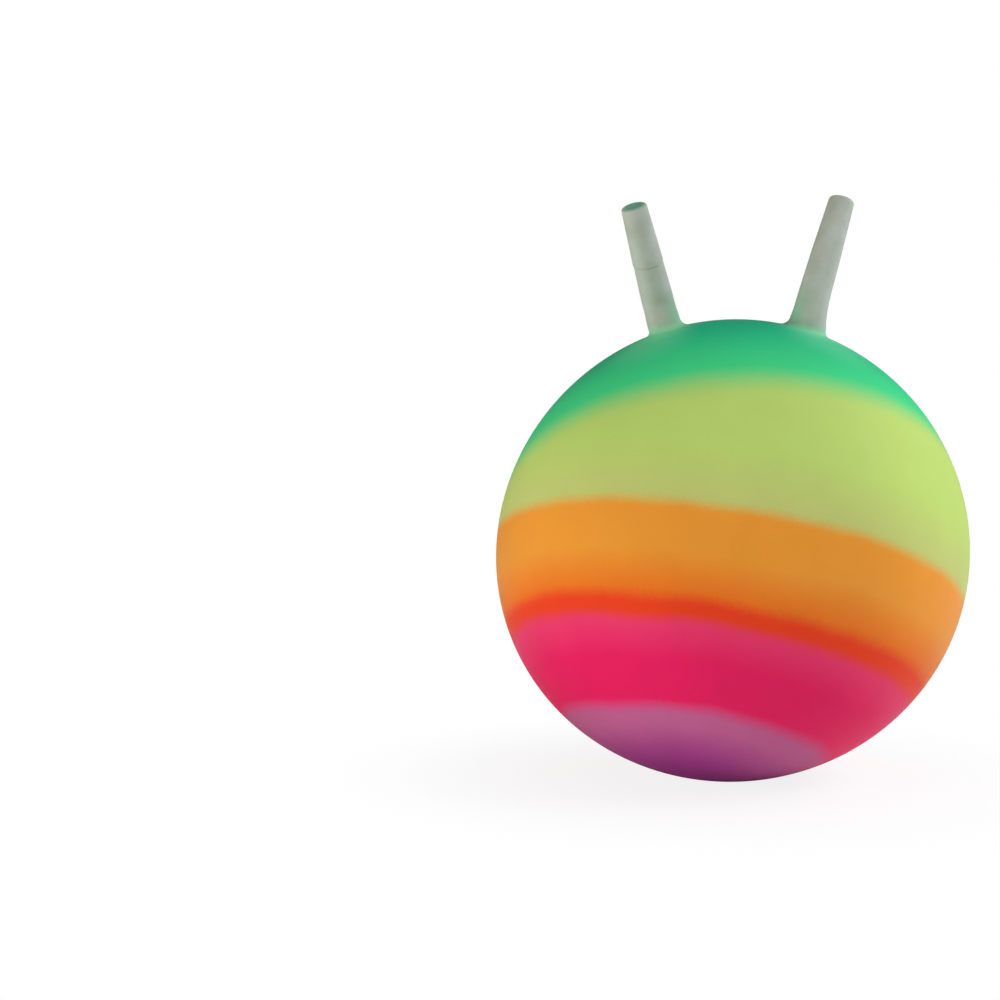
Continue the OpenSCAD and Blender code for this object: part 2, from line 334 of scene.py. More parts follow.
class Horn:
    """A horn: its middle line, from the skin up through its bend, and the rings round it."""

    def __init__(self, form, sizes, side, bend, turn, seam_gap, spread):
        self.perch = Perch(form, sizes.horn_tilt, np.array((side, 0.0, 0.0)))
        self.sizes = sizes
        self.bend = bend
        self.lean = FRONT * math.cos(turn) - self.perch.across * math.sin(turn)
        self.aside = FRONT * math.sin(turn) + self.perch.across * math.cos(turn)
        self.mouth = sizes.foot_length + sizes.bend_length + sizes.neck_length + sizes.grip_gap
        self.seam = self.mouth - seam_gap
        opening = seam_gap / sizes.grip_gap
        self.lip = sizes.lip_round * (sizes.shut_lip + (1 - sizes.shut_lip) * opening)
        self.ledge = (sizes.mouth_width - sizes.seam_width) / 2 * opening
        self.spread = spread

    def station(self, along):
        """The middle point at a length along the horn, and the way in which it bends there."""
        s, perch = self.sizes, self.perch
        foot = min(along, s.foot_length)
        turned = min(max(along - s.foot_length, 0.0), s.bend_length)
        beyond = max(along - s.foot_length - s.bend_length, 0.0)
        turn = self.bend * turned / s.bend_length
        axis = perch.axis * math.cos(turn) + self.lean * math.sin(turn)
        ahead = self.lean * math.cos(turn) - perch.axis * math.sin(turn)
        if self.bend == 0:
            up, forward = turned, 0.0
        else:
            radius = s.bend_length / self.bend
            up, forward = radius * math.sin(turn), radius * (1 - math.cos(turn))
        point = perch.point + perch.axis * (foot + up) + self.lean * forward + axis * beyond
        return point, ahead

    def ring(self, along, radius, turns):
        """A ring round the horn, its turns counted from the outer side over the front."""
        point, ahead = self.station(along)
        rays = np.outer(np.cos(turns), self.perch.across) + np.outer(np.sin(turns), FRONT)
        spokes = np.outer(rays @ self.aside, self.aside) + np.outer(rays @ self.lean, ahead)
        return point + (radius + self.flare(along, turns))[:, None] * spokes

    def flare(self, along, turns):
        """How far the horn spreads at each turn, near the skin and on its outer side."""
        low = np.maximum(1.0 - along / self.sizes.spread_length, 0.0)
        return self.spread * low**2 * np.maximum(np.cos(turns), 0.0)

    def grip_ring(self, along, radius, turns):
        """A ring of the grip, which turns to the cant of its end."""
        ring = self.ring(along, radius, turns)
        point = self.station(along)[0]
        axis = unit(self.station(along + MM)[0] - point)
        short = self.mouth + self.sizes.grip_length - along
        near = max(1.0 - short / self.sizes.cant_length, 0.0)
        slope = math.tan(self.sizes.tip_cant) * near**2
        return ring + np.outer(slope * ((ring - point) @ FRONT), axis)

    def foot_ring(self, radii, lifts, turns):
        """A ring that follows the skin, at these heights above it."""
        over_front = np.sign(self.perch.side @ FRONT)
        places = zip(round_places(radii, turns), lifts)
        spots = [self.perch.on_skin(x, over_front * y, lift) for (x, y), lift in places]
        return self.perch.form.slack(spots)


def arc(centre, radius, start, stop, steps):
    """Points of an arc in a profile; angles in degrees, 0 to the right and 90 up."""
    turns = np.radians(np.linspace(start, stop, steps + 1))
    return [(centre[0] + radius * math.cos(t), centre[1] + radius * math.sin(t)) for t in turns]


def stretch(start, stop, step):
    """Points along a straight of a profile, the start left out."""
    count = max(1, round(math.dist(start, stop) / step))
    return [
        tuple(np.add(start, np.subtract(stop, start) * k / count)) for k in range(1, count + 1)
    ]


def full_turn(count):
    return np.linspace(0, 2 * math.pi, count, endpoint=False)


def loft(rings, wrap=False):
    """Vertices and faces of a skin stretched over rings; a ring of one point is a pole."""
    starts = np.cumsum([0] + [len(ring) for ring in rings])
    pairs = list(zip(range(len(rings) - 1), range(1, len(rings))))
    if wrap:
        pairs.append((len(rings) - 1, 0))
    faces = []
    for low, high in pairs:
        first, second = starts[low], starts[high]
        count = max(len(rings[low]), len(rings[high]))
        for k in range(count):
            after = (k + 1) % count
            if len(rings[low]) == 1:
                faces.append((first, second + after, second + k))
            elif len(rings[high]) == 1:
                faces.append((first + k, first + after, second))
            else:
                faces.append((first + k, first + after, second + after, second + k))
    return np.concatenate(rings), faces


def add_piece(name, vertices, faces, marks=None, crease=38.0):
    """A smooth mesh object, with point marks that its finish can read."""
    mesh = bpy.data.meshes.new(name)
    mesh.from_pydata([tuple(v) for v in vertices], [], [tuple(int(k) for k in f) for f in faces])
    for mark, values in (marks or {}).items():
        layer = mesh.attributes.new(mark, "FLOAT", "POINT")
        layer.data.foreach_set("value", np.asarray(values, np.float32))
    work = bmesh.new()
    work.from_mesh(mesh)
    bmesh.ops.recalc_face_normals(work, faces=work.faces)
    work.to_mesh(mesh)
    work.free()
    mesh.polygons.foreach_set("use_smooth", [True] * len(mesh.polygons))
    mesh.set_sharp_from_angle(angle=math.radians(crease))
    piece = bpy.data.objects.new(name, mesh)
    bpy.context.scene.collection.objects.link(piece)
    return piece


# Finishes


class Number:
    """A number in a material, so that sums over a surface are written as Python."""

    def __init__(self, finish, socket):
        self.finish = finish
        self.socket = socket

    def sum(self, operation, *terms):
        settings = {"operation": operation}
        return self.finish.number("ShaderNodeMath", settings, dict(enumerate(terms)))

    def __add__(self, other):
        return self.sum("ADD", self, other)

    def __radd__(self, other):
        return self.sum("ADD", other, self)

    def __sub__(self, other):
        return self.sum("SUBTRACT", self, other)

    def __rsub__(self, other):
        return self.sum("SUBTRACT", other, self)

    def __mul__(self, other):
        return self.sum("MULTIPLY", self, other)

    def __rmul__(self, other):
        return self.sum("MULTIPLY", other, self)

    def least(self, other, blur):
        return self.sum("SMOOTH_MIN", self, other, blur)

    def most(self, other):
        return self.sum("MAXIMUM", self, other)

    def ease(self, low, high):
        """0 before low, 1 after high and a soft rise between; low may be the larger."""
        return self.finish.number(
            "ShaderNodeMapRange", {"interpolation_type": "SMOOTHSTEP"},
            {"Value": self, "From Min": low, "From Max": high},
        )


class Finish:
    """A material, or the world, and the nodes that make it."""

    def __init__(self, owner):
        owner.use_nodes = True
        self.owner = owner
        self.tree = owner.node_tree
        self.tree.nodes.clear()

    def node(self, kind, settings=None, sockets=None):
        """Adds a node: its settings first, then the values or links of its sockets."""
        made = self.tree.nodes.new(kind)
        for key, value in (settings or {}).items():
            if key == "stops":
                self.set_stops(made.color_ramp, value)
            else:
                setattr(made, key, value)
        for key, value in (sockets or {}).items():
            if isinstance(value, Number):
                value = value.socket
            if isinstance(value, bpy.types.NodeSocket):
                self.tree.links.new(value, made.inputs[key])
            else:
                made.inputs[key].default_value = value
        return made

    def set_stops(self, ramp, stops):
        while len(ramp.elements) < len(stops):
            ramp.elements.new(1.0)
        for element, (place, shade) in zip(ramp.elements, stops):
            element.position = place
            element.color = (*shade, 1.0)

    def number(self, kind, settings=None, sockets=None, output=0):
        return Number(self, self.node(kind, settings, sockets).outputs[output])

    def place(self):
        return self.node("ShaderNodeTexCoord").outputs["Object"]

    def mark(self, name):
        """A mark that the mesh carries on its points."""
        return self.number("ShaderNodeAttribute", {"attribute_name": name}, output="Fac")

    def measure(self, operation, vector, other):
        """A number that two vectors give."""
        sockets = {0: vector, 1: tuple(other)}
        return self.number("ShaderNodeVectorMath", {"operation": operation}, sockets, "Value")

    def dot(self, vector, axis):
        return self.measure("DOT_PRODUCT", vector, axis)

    def far(self, vector, point):
        """Distance from a point."""
        return self.measure("DISTANCE", vector, point)

    def noise(self, place, scale, detail=2.0, roughness=0.5):
        """Soft noise about zero, from -0.5 to 0.5; scale in features per metre."""
        return self.number(
            "ShaderNodeTexNoise", {"noise_dimensions": "3D"},
            {"Vector": place, "Scale": scale, "Detail": detail, "Roughness": roughness}, "Fac",
        ) - 0.5

    def mix(self, factor, first, second):
        """From the first colour to the second."""
        sockets = {0: factor}
        for key, shade in ((6, first), (7, second)):
            sockets[key] = shade if isinstance(shade, bpy.types.NodeSocket) else (*shade, 1.0)
        return self.node("ShaderNodeMix", {"data_type": "RGBA"}, sockets).outputs[2]

    def tint(self, shade, factor):
        """A colour made lighter or darker by a number."""
        return self.node(
            "ShaderNodeVectorMath", {"operation": "SCALE"}, {0: shade, "Scale": factor}
        ).outputs["Vector"]

    def mottled(self, place, shade, change, scale, detail=3.0):
        """A colour that is a little lighter and darker in places."""
        return self.tint(shade, 1.0 + change * self.noise(place, scale, detail))

    def rough(self, place, level, change, scale):
        """A roughness that changes a little over the surface."""
        return level + change * self.noise(place, scale, detail=3.0)

    def bump(self, height, strength):
        """Bumps of a height in metres."""
        return self.node(
            "ShaderNodeBump", {}, {"Height": height, "Distance": 1.0, "Strength": strength}
        ).outputs["Normal"]

    def surface(self, sockets):
        made = self.node("ShaderNodeBsdfPrincipled", {}, sockets)
        self.node("ShaderNodeOutputMaterial", {}, {"Surface": made.outputs[0]})
        return self.owner


def lean_axis(lean, tip):
    """An axis that leans from the upright to the right and to the back."""
    return (math.sin(lean) * math.cos(tip), math.sin(tip), math.cos(lean) * math.cos(tip))


def band_paint(finish, place, form, paint):
    """The sprayed bands: a ramp along their own axis, under a green cap with an axis of its own."""
    edge_wander, edge_fleck = 0.05, 0.02
    mottle, grain = 0.08, 0.05
    teal_start, teal_full = 0.35, 0.75
    level_back, level_blur = 0.2, 0.3
    unit_place = finish.node(
        "ShaderNodeVectorMath", {"operation": "MULTIPLY_ADD"},
        {0: place, 1: tuple(1 / form.halves), 2: tuple(-form.centre / form.halves)},
    ).outputs["Vector"]
    wander = finish.noise(place, scale=7.0)
    drift = finish.noise(place, scale=24.0, detail=3.0)
    speckle = finish.noise(place, scale=420.0, roughness=0.7)
    stray = edge_wander * wander + edge_fleck * drift + edge_fleck * speckle
    height = finish.dot(unit_place, lean_axis(paint.band_lean, paint.band_tip)) + stray
    stops = [
        (-1.00, paint.violet_deep), (-0.90, paint.violet), (-0.865, paint.violet),
        (-0.820, paint.pink), (-0.69, paint.pink), (-0.575, paint.coral),
        (-0.530, paint.red_orange), (-0.495, paint.red_orange), (-0.445, paint.deep_orange),
        (-0.30, paint.orange), (-0.128, paint.orange), (-0.075, paint.yellow_green),
        (0.16, paint.lime),
    ]
    bands = finish.node(
        "ShaderNodeValToRGB", {"stops": [((at + 1) / 2, tuple(shade)) for at, shade in stops]},
        {"Fac": 0.5 * (height + 1)},
    ).outputs["Color"]
    across = finish.dot(unit_place, (1, 0, 0))
    # Further back than this, the cap's edge runs level.
    back = finish.dot(unit_place, (0, 1, 0)).least(level_back, level_blur)
    rise = finish.dot(unit_place, (0, 0, 1))
    to_right, to_back, to_top = lean_axis(paint.cap_lean, paint.cap_tip)
    cap_height = to_right * across + to_back * back + to_top * rise + stray
    cap = cap_height.ease(paint.cap_edge - paint.cap_fade, paint.cap_edge + paint.cap_fade)
    deep = cap_height.ease(teal_start, teal_full)
    shade = finish.mix(cap, bands, finish.mix(deep, tuple(paint.green), tuple(paint.teal)))
    return finish.tint(shade, 1.0 + mottle * wander + mottle * drift + grain * speckle)


def bare_pvc(finish, place, paint):
    """Bare PVC: paler and greyer clouds, with a fine grain."""
    contrast, middle = 1.5, 0.5
    clouds = finish.noise(place, scale=38.0, detail=3.0)
    cloudy = (clouds * contrast + middle).ease(0.0, 1.0)
    shade = finish.mix(cloudy, tuple(paint.bare_grey), tuple(paint.bare_pale))
    return finish.mottled(place, shade, change=0.06, scale=500.0, detail=2.0)


def skin_grain(finish, place):
    """Fine pebble of the mould and the slight ripple of an inflated skin."""
    pebble_height, ripple_height = 0.12 * MM, 0.6 * MM
    pebble = finish.noise(place, scale=1400.0)
    ripple = finish.noise(place, scale=30.0, detail=1.0)
    return finish.bump(pebble * pebble_height + ripple * ripple_height, strength=0.6)


def paint_and_foot_light(finish, place, form, paint, horns):
    """The bands, with pale mint spots before each horn's foot: partly thin spray where the foot
    shields the skin, partly painted highlight where the lamps light the front and outer side.
    """
    # Each spot, partly thin spray and partly painted highlight: how far before the foot, how far
    # outward, how strong and how wide.
    thin_and_lit_spots = ((44 * MM, 22 * MM, 0.38, 58 * MM), (12 * MM, 7 * MM, 0.66, 46 * MM))
    core_share = 0.15
    shade = band_paint(finish, place, form, paint)
    for horn in horns:
        for ahead, outward, strength, reach in thin_and_lit_spots:
            middle = horn.perch.point + ahead * FRONT + outward * horn.perch.across
            # Painted highlight, partly thin spray: pale mint where the lamps light the skin before
            # the foot.
            thin = strength * finish.far(place, middle).ease(reach, core_share * reach)
            shade = finish.mix(thin, shade, tuple(paint.mint))
    return shade


def sprayed_skin(form, paint, horns):
    finish = Finish(bpy.data.materials.new("sprayed_skin"))
    place = finish.place()
    return finish.surface(
        {
            # The bands, with pale mint spots before the feet that are partly painted highlight.
            "Base Color": paint_and_foot_light(finish, place, form, paint, horns),
            "Roughness": finish.rough(place, level=0.46, change=0.10, scale=90.0),
            "Specular IOR Level": 0.10, "Normal": skin_grain(finish, place),
        }
    )


def horn_pvc(name, form, paint, horn):
    """Bare PVC with the skin's paint over its foot, and spray in the dish of its tip."""
    finish = Finish(bpy.data.materials.new(name))
    place = finish.place()
    sizes = horn.sizes
    foot_stray, veil_stray, dish_stray = 4 * MM, 8 * MM, 1 * MM
    inner_start, inner_full = -0.1, 0.95
    fine_share = 0.5
    tip = horn.mouth + sizes.grip_length
    dish_floor, dish_edge = tip - sizes.dish_depth, sizes.dish_width / 2 + paint.dish_spill
    along, reach = finish.mark("along"), finish.mark("reach")
    inner = finish.mark("inward").ease(inner_start, inner_full)
    fine = finish.noise(place, scale=420.0)
    cloud = finish.noise(place, scale=70.0, detail=3.0) + fine_share * fine
    foot = (along + foot_stray * cloud).ease(paint.foot_top, -paint.foot_depth)
    veil = paint.veil * inner * (along + veil_stray * cloud).ease(paint.veil_top, paint.veil_full)
    high = (along + dish_stray * cloud).ease(dish_floor - sizes.tip_round, dish_floor)
    dish = high * reach.ease(dish_edge, dish_edge - paint.dish_fade)
    rim = along.ease(tip - paint.rim_depth, tip - paint.rim_full)
    bare = bare_pvc(finish, place, paint)
    # The skin's paint over the foot carries the same pale mint spots, partly painted highlight.
    shade = finish.mix(foot.most(veil), bare, paint_and_foot_light(finish, place, form, paint, [horn]))
    end = (paint.dish_spray * dish).most(paint.rim_spray * rim)
    return finish.surface(
        {
            "Base Color": finish.mix(end, shade, tuple(paint.tip_green)),
            "Roughness": finish.rough(place, level=0.44, change=0.12, scale=120.0),
            "Specular IOR Level": 0.22, "Subsurface Weight": 0.15,
            "Subsurface Radius": (1.0, 1.0, 0.9), "Subsurface Scale": 3 * MM,
            "Normal": skin_grain(finish, place),
        }
    )


def valve_pvc(form, paint):
    finish = Finish(bpy.data.materials.new("valve_pvc"))
    place = finish.place()
    sizes, stray = form.sizes, 1.2 * MM
    recess, boss = recess_radius(sizes), sizes.boss_width / 2
    reach = finish.mark("reach") + stray * finish.noise(place, scale=300.0)
    spray = reach.ease(recess + paint.boss_bare, boss + paint.boss_bare)
    bare = finish.mottled(place, tuple(paint.valve_white), change=0.10, scale=160.0)
    bands = band_paint(finish, place, form, paint)
    return finish.surface(
        {
            "Base Color": finish.mix(paint.boss_spray * spray, bare, bands),
            "Roughness": finish.rough(place, level=0.42, change=0.12, scale=260.0),
            "Specular IOR Level": 0.22, "Normal": skin_grain(finish, place),
        }
    )


def plug_plastic(paint):
    finish = Finish(bpy.data.materials.new("plug_plastic"))
    place = finish.place()
    grain_height = 0.06 * MM
    grain = finish.noise(place, scale=2600.0)
    return finish.surface(
        {
            "Base Color": finish.mottled(place, tuple(paint.plug_white), change=0.08, scale=220.0),
            "Roughness": finish.rough(place, level=0.38, change=0.16, scale=500.0),
            "Normal": finish.bump(grain * grain_height, strength=0.5),
        }
    )


# Pieces


def dress(piece, material):
    piece.data.materials.append(material)


def horns_of(scene):
    sizes = scene.hopper_sizes
    form = BallForm(sizes)
    left = (sizes.left_bend, sizes.left_turn, sizes.left_seam, sizes.left_spread)
    right = (sizes.right_bend, sizes.right_turn, sizes.right_seam, sizes.right_spread)
    return (
        ("left", Horn(form, sizes, -1.0, *left)),
        ("right", Horn(form, sizes, 1.0, *right)),
    )


def valve_perch(form, sizes):
    return Perch(form, sizes.valve_tilt, np.array((0.0, 1.0, 0.0)))


def standing(points, floor):
    """Points of the ball's form, settled softly on a floor."""
    blur = 1.6 * MM
    over = np.maximum(blur - np.abs(points[:, 2] - floor), 0) / blur
    points[:, 2] = np.maximum(points[:, 2], floor) + over**2 * blur / 4
    return points


class HOPPER_BALL_OT_skin(bpy.types.Operator):
    """Makes the sprayed skin, with the hole for the valve"""

    bl_idname = "hopper_ball.skin"
    bl_label = "Make Skin"

    sides = 192
    outer_rows = 120
    inner_rows = 48
    lip_rows = 4
    lip_share = 0.4
    # Distances of rings from the hole's lip, in millimetres; the inner face has every fourth.
    hole_steps = (0, 0.4, 1, 2, 4, 7, 11, 16, 22, 29, 36)
    inner_skip = 4
    far_share = 1.15

    def hole_rings(self, perch, turns, inset, radii):
        """Rings round the hole, at this depth under the outer face of the skin."""
        rings = []
        for radius in radii:
            spots = [perch.on_skin(x, y, -inset) for x, y in round_places(radius, turns)]
            rings.append(perch.form.slack(spots))
        return rings

    def far_rings(self, form, perch, start, rows, turns, inset):
        """Rings from a start angle round to the point opposite the valve."""
        pole = form.to_unit(perch.point)
        first = perch.across / form.halves
        first = unit(first - pole * (first @ pole))
        second = np.cross(pole, first)
        if second @ perch.side < 0:
            second = -second
        rim = np.outer(np.cos(turns), first) + np.outer(np.sin(turns), second)
        rings = [
            form.from_unit(pole * math.cos(turn) + rim * math.sin(turn), inset)
            for turn in np.linspace(start, math.pi, rows + 1)[:-1]
        ]
        rings.append(np.array([form.from_unit(-pole, inset)]))
        return [standing(form.slack(ring), inset) for ring in rings]

    def execute(self, context):
        scene = context.scene
        sizes, paint = scene.hopper_sizes, scene.hopper_paint
        form = BallForm(sizes)
        perch = valve_perch(form, sizes)
        turns = full_turn(self.sides)
        skin, hole = sizes.skin_thickness, sizes.boss_width / 2 + sizes.weld_gap
        roll = self.lip_share * skin
        near = [hole + roll + step * MM for step in self.hole_steps]
        start = self.far_share * near[-1] / form.halves[0]
        rings = self.far_rings(form, perch, start, self.inner_rows, turns, skin)[::-1]
        rings += self.hole_rings(perch, turns, skin, near[:: -self.inner_skip])
        for turn in np.radians(np.linspace(0, 90, self.lip_rows + 1))[:-1]:
            radius = hole + roll * (1 - math.cos(turn))
            drop = roll * (1 - math.sin(turn))
            rings += self.hole_rings(perch, turns, drop, (radius,))
        rings += self.hole_rings(perch, turns, 0.0, near)
        rings += self.far_rings(form, perch, start, self.outer_rows, turns, 0.0)
        piece = add_piece("ball_skin_sprayed", *loft(rings))
        horns = [horn for _, horn in horns_of(scene)]
        dress(piece, sprayed_skin(form, paint, horns))
        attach(piece, "ball")
        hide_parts("ball_skin")
        return {"FINISHED"}


class HOPPER_BALL_OT_horn_roots(bpy.types.Operator):
    """Makes the lower half of both horns, from the foot on the skin to the spigot in the grip"""

    bl_idname = "hopper_ball.horn_roots"
    bl_label = "Make Horn Roots"

    sides = 72
    fillet_rows = 15
    fillet_start = 5
    # The foot's edge runs out past its fillet and lies a little under the face of the skin.
    hem = 0.3 * MM
    sink = 0.12 * MM
    base_gap = 1 * MM
    base_inset = 0.05 * MM
    lip_rows = 5
    spigot_nick = 0.2 * MM
    bore_foot = 2 * MM
    fine = 1.6 * MM
    coarse = 4 * MM
    flex_start = 6 * MM
    flex_stop = 44 * MM

    def foot(self, sizes, horn, turns):
        """Radii and lifts of the rings that run the foot out on the skin."""
        inner = 0.5 - 0.5 * np.cos(turns)
        fillet = sizes.outer_fillet + (sizes.inner_fillet - sizes.outer_fillet) * inner
        rim = sizes.base_width / 2 + fillet
        rows = [(rim + self.hem + horn.flare(0.0, turns), np.full(len(turns), -self.sink))]
        for turn in np.radians(np.linspace(self.fillet_start, 90, self.fillet_rows)):
            lift = fillet * (1 - math.cos(turn))
            rows.append((rim - fillet * math.sin(turn) + horn.flare(lift, turns), lift))
        return rows

    def body(self, sizes, horn):
        """Length along the horn and radius, up the outside, over the spigot and down the bore."""
        seam, lip = horn.seam, horn.lip
        bend_start, bend_stop = sizes.foot_length, sizes.foot_length + sizes.bend_length
        bend, top = sizes.bend_width / 2, sizes.mouth_width / 2 - horn.ledge
        bore = bend - sizes.horn_wall
        spigot = sizes.mouth_width / 2 - sizes.grip_wall - sizes.grip_gap
        spigot_top = spigot - grip_slope(sizes) * sizes.spigot_length
        rows = [(sizes.inner_fillet + self.base_gap, sizes.base_width / 2 - self.base_inset)]
        for stop in ((bend_start, bend), (bend_stop, bend), (seam - lip, top)):
            rows += stretch(rows[-1], stop, self.fine)
        rows += arc((seam - lip, top - lip), lip, 90, 0, self.lip_rows)[1:]
        rows += [(seam, spigot + self.spigot_nick), (seam + self.spigot_nick, spigot)]
        rows += stretch(rows[-1], (seam + sizes.spigot_length, spigot_top), self.coarse)
        rows.append((seam + sizes.spigot_length, spigot_top - sizes.spigot_wall))
        rows += stretch(
            rows[-1], (seam - sizes.horn_wall, spigot - sizes.spigot_wall), self.coarse
        )
        rows.append((seam - 2 * sizes.horn_wall, top - sizes.horn_wall))
        for stop in ((bend_stop, bore), (bend_start, bore), (self.bore_foot, bore)):
            rows += stretch(rows[-1], stop, self.coarse)
        return rows

    def execute(self, context):
        scene = context.scene
        sizes, paint = scene.hopper_sizes, scene.hopper_paint
        form = BallForm(sizes)
        turns = full_turn(self.sides)
        for side, horn in horns_of(scene):
            every = np.ones(self.sides)
            foot = self.foot(sizes, horn, turns)
            body = self.body(sizes, horn)
            foot_end = (every * body[-1][1], every * -self.sink)
            rings = [horn.foot_ring(radii, lifts, turns) for radii, lifts in foot]
            rings += [horn.ring(length, radius, turns) for length, radius in body]
            rings.append(horn.foot_ring(*foot_end, turns))
            lifts = [lifts for _, lifts in foot] + [every * length for length, _ in body]
            radii = [radii for radii, _ in foot] + [every * radius for _, radius in body]
            marks = {
                "along": np.concatenate([*lifts, foot_end[1]]),
                "reach": np.concatenate([*radii, foot_end[0]]),
                "inward": np.tile(-np.cos(turns), len(rings)),
            }
            piece = add_piece(f"{side}_horn_root_moulded", *loft(rings, wrap=True), marks)
            dress(piece, horn_pvc(f"{side}_root_pvc", form, paint, horn))
            start, stop = horn.station(self.flex_start)[0], horn.station(self.flex_stop)[0]
            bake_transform(piece)
            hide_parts(f"{side}_horn_root")
        return {"FINISHED"}


class HOPPER_BALL_OT_horn_grips(bpy.types.Operator):
    """Makes the sleeve grips with their rounded, dished tips"""

    bl_idname = "hopper_ball.horn_grips"
    bl_label = "Make Horn Grips"

    sides = 72
    dish_shares = np.linspace(0.12, 0.94, 8)
    dish_rim_drop = 0.03 * MM
    dish_rim_width = 0.15 * MM
    round_rows = 10
    lip_rows = 5
    mouth_nick = 0.3 * MM
    end_wall = 2.4 * MM
    fine = 3 * MM
    coarse = 8 * MM

    def profile(self, sizes, lip):
        """Height above the mouth and radius, from the dish down the outside and up the bore."""
        mouth, tip, length = sizes.mouth_width / 2, sizes.tip_width / 2, sizes.grip_length
        round_r, slope = sizes.tip_round, grip_slope(sizes)
        dish, depth = sizes.dish_width / 2, sizes.dish_depth
        rows = [(length - depth * (1 - out**2), dish * out) for out in self.dish_shares]
        rows.append((length - self.dish_rim_drop, dish + self.dish_rim_width))
        rim = arc((tip - round_r, length - round_r), round_r, 90, 0, self.round_rows)
        rows += [(z, r) for r, z in rim]
        rows += stretch(rows[-1], (lip, mouth - slope * lip), self.fine)
        rows += [(z, r) for r, z in arc((mouth - lip, lip), lip, 0, -90, self.lip_rows)][1:]
        bore = mouth - sizes.grip_wall
        rows += [(0.0, bore + self.mouth_nick), (self.mouth_nick, bore)]
        floor = length - depth - self.end_wall
        rows += stretch(rows[-1], (floor, bore - slope * floor), self.coarse)
        return rows, length - depth, floor

    def execute(self, context):
        scene = context.scene
        sizes, paint = scene.hopper_sizes, scene.hopper_paint
        form = BallForm(sizes)
        turns = full_turn(self.sides)
        for side, horn in horns_of(scene):
            rows, dish_floor, bore_floor = self.profile(sizes, horn.lip)
            mouth = horn.mouth
            rings = [np.array([horn.station(mouth + dish_floor)[0]])]
            rings += [horn.grip_ring(mouth + height, radius, turns) for height, radius in rows]
            rings.append(np.array([horn.station(mouth + bore_floor)[0]]))
            heights = [mouth + height for height, _ in rows]
            marks = {
                "along": [mouth + dish_floor, *np.repeat(heights, self.sides), mouth + bore_floor],
                "reach": [0.0, *np.repeat([radius for _, radius in rows], self.sides), 0.0],
                "inward": [0.0, *np.tile(-np.cos(turns), len(rows)), 0.0],
            }
            piece = add_piece(f"{side}_horn_grip_moulded", *loft(rings), marks)
            dress(piece, horn_pvc(f"{side}_grip_pvc", form, paint, horn))
            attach(piece, f"{side}_grip")
            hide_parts(f"{side}_horn_grip")
        return {"FINISHED"}


